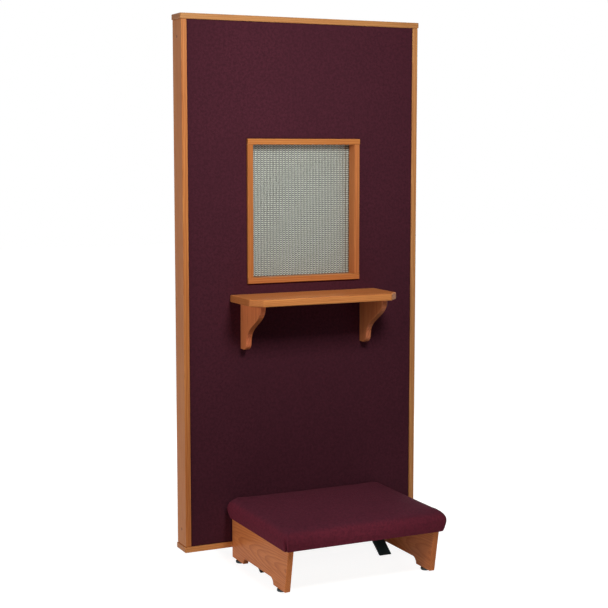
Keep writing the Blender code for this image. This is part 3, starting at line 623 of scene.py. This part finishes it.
def add_wire(points, faces, centre, run, rise, width):
    """One flattened wire through its centre points. run and rise are the axes that it lies in."""
    lean = np.gradient(centre, axis=0)
    lean /= np.linalg.norm(lean, axis=1)[:, None]
    side = np.cross(run, rise)
    up = np.cross(side, lean)
    base = len(points)
    for i in range(len(centre)):
        for k in range(WIRE_SIDES):
            angle = 2.0 * math.pi * (k + 0.5) / WIRE_SIDES
            ray = WIRE_THICKNESS * math.cos(angle) * up[i] + width * math.sin(angle) * side
            points.append(tuple(centre[i] + ray / 2.0))
    for i in range(len(centre) - 1):
        for k in range(WIRE_SIDES):
            a, b = base + i * WIRE_SIDES + k, base + i * WIRE_SIDES + (k + 1) % WIRE_SIDES
            faces.append((a, b, b + WIRE_SIDES, a + WIRE_SIDES))
    last = base + (len(centre) - 1) * WIRE_SIDES
    faces.append(tuple(reversed(range(base, base + WIRE_SIDES))))
    faces.append(tuple(range(last, last + WIRE_SIDES)))


def wire_grid():
    """Places of the first column and row of wires, their pitches and counts, and the weave's place in Y."""
    left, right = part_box("window_jamb_left")[1][0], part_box("window_jamb_right")[0][0]
    foot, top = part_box("window_sill")[1][2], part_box("window_head")[0][2]
    low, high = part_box("window_mesh")
    count = round((right - left) / WIRE_PITCH_ACROSS), round((top - foot) / WIRE_PITCH_UP)
    pitch = (right - left) / count[0], (top - foot) / count[1]
    first = left + pitch[0] / 2.0, foot + pitch[1] / 2.0
    return first, pitch, count, (low[1] + high[1]) / 2.0


def window_wire(material):
    """The plain-woven flat wire of the window, let into the box frame on all sides."""
    low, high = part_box("window_mesh")
    first, pitch, count, middle_y = wire_grid()
    points, faces = [], []
    x_axis, y_axis, z_axis = np.eye(3)
    for i in range(count[0]):
        along, rise = wire_path(low[2], high[2], first[1], pitch[1], count[1], i)
        place_x = np.full_like(along, first[0] + i * pitch[0])
        centre = np.stack([place_x, middle_y + rise * WIRE_THICKNESS / 2.0, along], 1)
        add_wire(points, faces, centre, z_axis, y_axis, WIRE_WIDTH_UPRIGHT)
    for j in range(count[1]):
        along, rise = wire_path(low[0], high[0], first[0], pitch[0], count[0], j + 1)
        place_z = np.full_like(along, first[1] + j * pitch[1])
        centre = np.stack([along, middle_y + rise * WIRE_THICKNESS / 2.0, place_z], 1)
        add_wire(points, faces, centre, x_axis, y_axis, WIRE_WIDTH_LEVEL)
    piece = new_piece("window_wire", points, faces, material, "screen")
    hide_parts("window_mesh")


def rounded_outline(half_x, half_y, radius):
    """Points round a rectangle with rounded corners."""
    points = []
    for turn, (sign_x, sign_y) in enumerate(((1, 1), (-1, 1), (-1, -1), (1, -1))):
        for step in range(PAD_STEPS + 1):
            angle = math.radians(90.0 * (turn + step / PAD_STEPS))
            x = sign_x * (half_x - radius) + radius * math.cos(angle)
            y = sign_y * (half_y - radius) + radius * math.sin(angle)
            points.append((x, y))
    return points


def pad_sections(height, crown_reach):
    """Inset and height of each ring of the pad, from the skirt that is trimmed off to the crown."""
    side = height - PAD_CROWN - PAD_ROLL
    sections = [(PAD_TUCK, -PAD_SKIRT)]
    for step in range(PAD_STEPS):
        share = step / PAD_STEPS
        sections.append((PAD_TUCK * (1.0 - math.sin(math.radians(90.0 * share))), side * share))
    for step in range(PAD_STEPS + 1):
        angle = math.radians(90.0 * step / PAD_STEPS)
        sections.append((PAD_ROLL * (1.0 - math.cos(angle)), side + PAD_ROLL * math.sin(angle)))
    for step in range(1, PAD_STEPS + 1):
        share = step / PAD_STEPS
        inset = PAD_ROLL + (crown_reach - PAD_ROLL) * share
        sections.append((inset, side + PAD_ROLL + PAD_CROWN * (1.0 - (1.0 - share) ** 2)))
    return sections


def pad_form():
    """The pad's closed start form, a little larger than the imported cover."""
    low, high = (np.array(corner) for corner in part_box("seat_cover"))
    half_x, half_y, half_z = (high - low) / 2.0 + PAD_START_OUTSET
    middle = (low + high) / 2.0
    points, faces, size = [], [], None
    for inset, rise in pad_sections(2.0 * half_z, min(half_x, half_y) - PAD_FLAT / 2.0):
        outline = rounded_outline(half_x - inset, half_y - inset, PAD_CORNER)
        points += [(middle[0] + x, middle[1] + y, low[2] + rise) for x, y in outline]
        size = len(outline)
    for start in range(0, len(points) - size, size):
        for k in range(size):
            after = (k + 1) % size
            faces.append((start + k, start + after, start + size + after, start + size + k))
    faces.append(tuple(reversed(range(size))))
    faces.append(tuple(range(len(points) - size, len(points))))
    return points, faces


def remesh(piece):
    """Gives the pad an even skin of small faces."""
    skin = piece.modifiers.new("skin", "REMESH")
    skin.mode = "VOXEL"
    skin.voxel_size = PAD_VOXEL
    bake_modifiers(piece)


def bake_modifiers(piece):
    """Replaces a piece's mesh with what its modifiers make of it."""
    seen = piece.evaluated_get(bpy.context.evaluated_depsgraph_get())
    made = bpy.data.meshes.new_from_object(seen)
    piece.modifiers.clear()
    old, piece.data = piece.data, made
    bpy.data.meshes.remove(old)
    made.shade_smooth()


def positions(mesh):
    """A mesh's points as rows of an array."""
    flat = np.empty(len(mesh.vertices) * 3)
    mesh.vertices.foreach_get("co", flat)
    return flat.reshape(-1, 3)


def set_positions(mesh, places):
    """Moves a mesh's points to the rows of an array."""
    mesh.vertices.foreach_set("co", np.ascontiguousarray(places).ravel())
    mesh.update()


def draw_in(mesh, low, high):
    """Pulls the pad's sides in between its corners."""
    places = positions(mesh)
    middle, half = (low + high)[:2] / 2.0, (high - low)[:2] / 2.0
    share = (places[:, :2] - middle) / half
    between = np.maximum(0.0, 1.0 - share[:, ::-1] ** 2)
    places[:, :2] -= PAD_DRAW_IN * share * between
    set_positions(mesh, places)


def outward_only(mesh, step):
    """Takes away the part of each step that would go into the foam."""
    normals = np.empty(len(mesh.vertices) * 3, np.float32)
    mesh.vertex_normals.foreach_get("vector", normals)
    normals = normals.reshape(-1, 3)
    inward = np.minimum((step * normals).sum(axis=1), 0.0)
    return step - normals * inward[:, None]


def swell(piece, floor_z):
    """Fills the cover with cloth simulation, held along its lower edge, and caps how far it moves."""
    start = positions(piece.data)
    held = piece.vertex_groups.new(name="held")
    lowest = np.flatnonzero(start[:, 2] < floor_z + PAD_HELD_HEIGHT)
    held.add([int(i) for i in lowest], 1.0, "REPLACE")
    filling = piece.modifiers.new("filling", "CLOTH")
    for name, value in PAD_FILLING.items():
        setattr(filling.settings, name, value)
    filling.settings.effector_weights.gravity = 0.0
    filling.settings.vertex_group_mass = held.name
    filling.collision_settings.use_collision = False
    scene = bpy.context.scene
    for number in range(1, PAD_FRAMES + 1):
        scene.frame_set(number)
    seen = piece.evaluated_get(bpy.context.evaluated_depsgraph_get())
    moved = positions(seen.data)
    piece.modifiers.clear()
    piece.vertex_groups.clear()
    scene.frame_set(1)
    step = outward_only(piece.data, moved - start)
    length = np.maximum(np.linalg.norm(step, axis=1)[:, None], SMALLEST_LENGTH)
    set_positions(piece.data, start + step * np.minimum(1.0, PAD_SWELL_CAP / length))


def refine_corners(piece, corners, reach):
    """Splits the faces round the pad's corners, so that the folds there have enough points."""
    work = bmesh.new()
    work.from_mesh(piece.data)
    near = [
        edge for edge in work.edges
        if any(math.dist(edge.verts[0].co[:2], corner) < reach for corner in corners)
    ]
    bmesh.ops.subdivide_edges(work, edges=near, cuts=FOLD_CUTS, use_grid_fill=True, smooth=0.0)
    bmesh.ops.triangulate(work, faces=[face for face in work.faces if len(face.verts) > 4])
    work.to_mesh(piece.data)
    work.free()


def fold_corners(piece, centres, floor_z):
    """Presses the tucked fold into each corner of the cover and puffs the cloth beside it."""
    places = positions(piece.data)
    for centre, outward in centres:
        offset = places[:, :2] - centre
        turn = np.arctan2(offset[:, 1], offset[:, 0]) - math.atan2(outward[1], outward[0])
        turn = (turn + math.pi) % (2.0 * math.pi) - math.pi
        away = np.linalg.norm(offset, axis=1)
        along = turn * PAD_CORNER
        fade = np.clip(1.0 - (places[:, 2] - floor_z) / FOLD_HEIGHT, 0.0, 1.0) ** FOLD_FADE_POWER
        fade *= (away > FOLD_START * PAD_CORNER) & (np.abs(turn) < FOLD_HALF_TURN)
        press = FOLD_DEPTH * np.exp(-((along / FOLD_WIDTH) ** 2))
        puff = FOLD_PUFF * np.exp(-(((np.abs(along) - FOLD_PUFF_PLACE) / FOLD_PUFF_WIDTH) ** 2))
        ray = offset / np.maximum(away, SMALLEST_LENGTH)[:, None]
        places[:, :2] += ray * ((puff - press) * fade)[:, None]
    set_positions(piece.data, places)


def cut_prism(piece, outline, low_z, high_z):
    """Takes an upright prism out of a piece."""
    count = len(outline)
    points = [(x, y, z) for z in (low_z, high_z) for x, y in outline]
    faces = [(k, (k + 1) % count, count + (k + 1) % count, count + k) for k in range(count)]
    faces += [tuple(reversed(range(count))), tuple(range(count, 2 * count))]
    mesh = bpy.data.meshes.new("cutter")
    mesh.from_pydata(points, [], faces)
    cutter = add_object("cutter", mesh)
    cut = piece.modifiers.new("cut", "BOOLEAN")
    cut.operation = "DIFFERENCE"
    cut.solver = "MANIFOLD"
    cut.object = cutter
    bake_modifiers(piece)
    bpy.data.objects.remove(cutter)
    bpy.data.meshes.remove(mesh)


def seat_pad(piece):
    """Trims the pad's lower edge flat and cuts out the place of the board that it is stretched over."""
    low, high = (np.array(corner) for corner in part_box("seat_cover"))
    board_low, board_high = (np.array(corner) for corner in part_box("seat_board"))
    middle = (low + high)[:2] / 2.0
    around = np.array(rounded_outline(*(high - low)[:2], PAD_CORNER)) + middle
    cut_prism(piece, around, low[2] - 2.0 * PAD_SKIRT, low[2])
    half = (board_high - board_low)[:2] / 2.0 + BOARD_GAP
    under = np.array(rounded_outline(*half, PAD_CORNER)) + (board_low + board_high)[:2] / 2.0
    cut_prism(piece, under, low[2] - PAD_SKIRT, board_high[2] + BOARD_GAP)


def pad(material):
    """The upholstered pad of the kneeler: cover and filling as one soft form."""
    points, faces = pad_form()
    piece = new_piece("kneeler_pad", points, faces, material, "kneeler")
    low, high = (np.array(corner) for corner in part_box("seat_cover"))
    remesh(piece)
    draw_in(piece.data, low, high)
    swell(piece, low[2])
    middle, inner = (low + high)[:2] / 2.0, (high - low)[:2] / 2.0 - PAD_CORNER
    corners = [np.array((sign_x, sign_y)) for sign_x in (-1, 1) for sign_y in (-1, 1)]
    centres = [(middle + corner * inner, corner) for corner in corners]
    refine_corners(piece, [spot for spot, _ in centres], FOLD_REFINED * PAD_CORNER)
    fold_corners(piece, centres, low[2])
    finer = piece.modifiers.new("finer", "SUBSURF")
    finer.levels = finer.render_levels = 1
    bake_modifiers(piece)
    seat_pad(piece)
    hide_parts("seat_cover", "seat_foam")


def dress_wood():
    """Each board is cut from its own part of a log, so its rings have their own centre and tilt.

    A board has its grain's axis, the offset and tilt in degrees of its rings, its tint and its end stain.
    """
    boards = {
        "stile_left": ("Z", (0.30, 0.52, 0.03), (0.4, 0.3), (1.05, 1.05, 1.12)),
        "stile_right": ("Z", (0.90, -0.35, 0.06), (-0.3, 0.4), (1.06, 1.32, 1.72)),
        "top_rail": ("X", (0.20, -0.08, -1.81), (0.3, 0.5), (1.00, 1.27, 1.60)),
        "bottom_rail": ("X", (0.70, -0.09, 0.04), (0.5, -0.3), (1.28, 1.50, 1.80)),
        "window_head": ("X", (0.10, -0.05, -1.40), (0.5, 0.4), (1.02, 1.04, 1.04)),
        "window_sill": ("X", (0.60, -0.06, -1.02), (0.4, -0.5), (0.97, 0.94, 1.02)),
        "window_jamb_left": ("Z", (0.40, 0.26, -0.06), (0.6, 0.3), (0.96, 0.92, 0.90)),
        "window_jamb_right": ("Z", (0.80, -0.15, -0.05), (-0.4, 0.5), (0.98, 0.92, 1.06)),
        "shelf_board": ("X", (0.30, 0.03, -0.70), (0.5, 0.4), (1.09, 1.06, 1.16)),
        "shelf_bracket_left": ("Z", (0.20, 0.30, 0.05), (0.9, 0.6), (1.06, 0.90, 1.20)),
        # Painted shade: the right bracket is toned darker than the left for the shelf's shadow on its inner
        # face.
        "shelf_bracket_right": ("Z", (0.50, -0.17, 0.04), (0.7, -0.8), (0.84, 0.77, 1.08)),
        "kneeler_side_left": ("Y", (0.30, 0.34, -0.085), (0.5, 4.0), (1.10, 1.00, 1.18), 0.0),
        "kneeler_side_right": ("Y", (0.60, -0.34, -0.075), (0.5, -4.0), (1.00, 0.90, 1.08), 0.0),
        "kneeler_rear_rail": ("X", (0.10, -0.02, -0.10), (0.6, 1.0), (0.92, 0.92, 0.92)),
    }
    # Painted light and shade: the stiles' side faces are darkened, and the shelf's and brackets' front faces
    # lightened, as the lamps light them.
    painted_face_lights = {
        "stile_left": ("X", (0.88, 0.86, 0.85)),
        "stile_right": ("X", (0.88, 0.86, 0.85)),
        "shelf_board": ("Y", (1.06, 1.13, 1.12)),
        "shelf_bracket_left": ("Y", (1.35, 1.28, 1.45)),
        "shelf_bracket_right": ("Y", (1.35, 1.28, 1.45)),
    }
    for node, cut in boards.items():
        paint(node, oak("oak_" + node, *cut, painted_face_light=painted_face_lights.get(node)))
    plug = oak("oak_plug", "Y", (0.15, 0.03, 0.02), (2.0, 2.0), (0.44, 0.36, 0.46))
    for side in ("left", "right"):
        for end in ("top", "bottom"):
            paint(f"plug_{side}_{end}", plug)


def dress_hidden():
    """Core timbers, skin boards, cleats and seat board, which show only from below or inside."""
    upright = softwood("softwood_upright", "Z")
    level = softwood("softwood_level", "X")
    lengthwise = softwood("softwood_lengthwise", "Y")
    for side in ("left", "right"):
        paint(f"core_stud_{side}", upright)
        paint(f"core_trimmer_{side}", upright)
        paint(f"seat_cleat_{side}", lengthwise)
    for end in ("top", "bottom"):
        paint(f"core_plate_{end}", level)
    for node in ("core_header", "core_sill", "shelf_backer", "seat_board"):
        paint(node, level)
    board = pressed_board("hardboard")
    for node in ("front_board", "rear_board"):
        paint(node, board)


def dress_black():
    """Foot straps and their screws in black steel, glides in black plastic."""
    steel = black_coat("black_steel", *STEEL_COAT)
    plastic = black_coat("black_plastic", *PLASTIC_COAT)
    for side in ("left", "right"):
        paint(f"foot_{side}", steel)
        for end in ("front", "rear"):
            paint(f"foot_screw_{side}_{end}", steel)
            paint(f"glide_{side}_{end}", plastic)


def soft_box(name, place, target, size, spread, watts):
    """A square studio light aimed at a point, with a beam of a given spread in degrees."""
    lamp = bpy.data.lights.new(name, "AREA")
    lamp.shape = "SQUARE"
    lamp.size = size
    lamp.spread = math.radians(spread)
    lamp.energy = watts
    box = add_object(name, lamp)
    box.location = place
    box.rotation_euler = (Vector(place) - Vector(target)).to_track_quat("Z", "Y").to_euler()


def seen_directly(nodes):
    """1 for rays from the camera, a mirror or glass, and 0 for light that falls on the object."""
    path = nodes.add("LightPath").outputs
    shown = nodes.math("MAXIMUM", path["Is Camera Ray"], path["Is Glossy Ray"])
    return nodes.math("MAXIMUM", shown, path["Is Transmission Ray"])


def studio():
    """White surroundings that light the object only softly."""
    world = bpy.data.worlds.new("studio")
    bpy.context.scene.world = world
    nodes = empty_tree(world)
    strength = nodes.math("MAXIMUM", seen_directly(nodes), AMBIENT)
    sky = nodes.add("Background", {"Color": (1.0, 1.0, 1.0, 1.0), "Strength": strength})
    end = nodes.add("OutputWorld")
    nodes.fill(end.inputs["Surface"], sky.outputs[0])


def floor():
    """A plain pale floor that keeps the object's shadow and fades to white away from it."""
    half = FLOOR_SIZE / 2.0
    mesh = bpy.data.meshes.new("floor")
    corners = [(-half, -half, 0), (half, -half, 0), (half, half, 0), (-half, half, 0)]
    mesh.from_pydata(corners, [], [(0, 1, 2, 3)])
    ground = add_object("floor", mesh)
    made = bpy.data.materials.new("floor")
    nodes = empty_tree(made)
    place = nodes.add("TexCoord").outputs["Object"]
    away = nodes.add("VectorMath", {0: place}, operation="LENGTH").outputs["Value"]
    glow = nodes.levels(away, *FLOOR_FADE, FLOOR_GLOW_NEAR, FLOOR_GLOW_FAR)
    mottle = nodes.noise(place, FLOOR_MOTTLE_SCALE)
    shown = seen_directly(nodes)
    tints = FLOOR_ALBEDO - FLOOR_MOTTLE, FLOOR_ALBEDO + FLOOR_MOTTLE
    tint = nodes.levels(mottle, *FLOOR_MOTTLE_SPAN, *tints)
    matt = nodes.add("BsdfDiffuse", {"Color": nodes.mix(shown, FLOOR_BOUNCE, tint)})
    light = nodes.add("Emission", {"Strength": nodes.math("MULTIPLY", glow, shown)})
    both = nodes.add("AddShader", {0: matt.outputs[0], 1: light.outputs[0]})
    end = nodes.add("OutputMaterial")
    nodes.fill(end.inputs["Surface"], both.outputs[0])
    mesh.materials.append(made)


def camera():
    """The photograph's viewpoint."""
    lens = bpy.data.cameras.new("camera")
    lens.lens = CAMERA_LENS
    lens.sensor_width = CAMERA_SENSOR
    eye = add_object("camera", lens)
    eye.location = CAMERA_PLACE
    eye.rotation_euler = (math.radians(CAMERA_TILT), 0.0, math.radians(CAMERA_TURN))
    bpy.context.scene.camera = eye


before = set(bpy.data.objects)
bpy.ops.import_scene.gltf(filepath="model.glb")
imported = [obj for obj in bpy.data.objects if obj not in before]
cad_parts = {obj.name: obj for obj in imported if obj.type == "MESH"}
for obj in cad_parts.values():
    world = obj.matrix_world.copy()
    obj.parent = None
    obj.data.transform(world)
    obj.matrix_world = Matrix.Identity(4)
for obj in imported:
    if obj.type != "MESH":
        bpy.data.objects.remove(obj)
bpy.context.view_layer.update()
bpy.context.scene.view_settings.view_transform = "Standard"
camera()
studio()
floor()
soft_box("key", KEY_PLACE, KEY_TARGET, KEY_SIZE, KEY_SPREAD, KEY_POWER)
soft_box("fill", FILL_PLACE, FILL_TARGET, FILL_SIZE, FILL_SPREAD, FILL_POWER)
soft_box("front", FRONT_PLACE, FRONT_TARGET, FRONT_SIZE, FRONT_SPREAD, FRONT_POWER)
soft_box("back", BACK_PLACE, BACK_TARGET, BACK_SIZE, BACK_SPREAD, BACK_POWER)

dress_wood()
dress_hidden()
dress_black()
panel_weave = cloth("panel_cloth", PANEL_RED, PANEL_DARK, PANEL_SHEEN, PANEL_THREAD)
panel_cloth("front_cloth", "front_fabric", -1.0, panel_weave)
panel_cloth("rear_cloth", "rear_fabric", 1.0, panel_weave)
window_wire(wire_metal("window_wire"))
pad(cloth("pad_cloth", PAD_RED, PAD_DARK, PAD_SHEEN, PAD_THREAD, PAD_TOP_SHADE))
